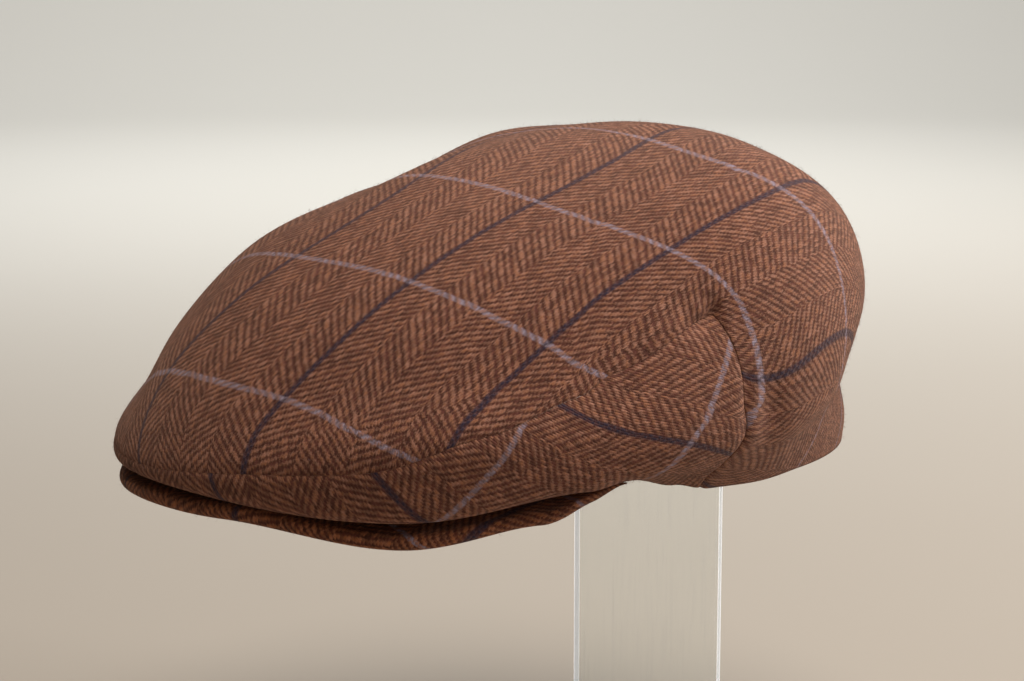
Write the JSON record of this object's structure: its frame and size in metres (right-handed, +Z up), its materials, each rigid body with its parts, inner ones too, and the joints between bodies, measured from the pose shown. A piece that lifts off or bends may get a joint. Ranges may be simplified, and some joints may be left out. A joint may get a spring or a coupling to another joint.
{
  "type": "driving cap on a clear display stand",
  "caption": "Soft tweed driving cap with a leaf-panelled crown over a short stiff peak, open underneath for a head, held up on a plain clear stand.",
  "frame": {"origin": "middle of the box's underside, on the surface that the stand's base rests on", "axes": "-X is the front of the cap, +Z is up, +Y is the wearer's right"},
  "size_m": [0.2669, 0.2112, 0.238],
  "materials": {
    "crown_tweed": "fuzzy wool tweed, brown herringbone with navy and pale blue windowpane lines",
    "peak_tweed": "the same tweed drawn tight over a stiff peak",
    "clear_acrylic": "clear, polished"
  },
  "bodies": {
    "root": {"top_panel": "crown_tweed", "side_panel_left": "crown_tweed", "side_panel_right": "crown_tweed", "peak": "peak_tweed", "stand": "clear_acrylic"}
  },
  "joints": []
}
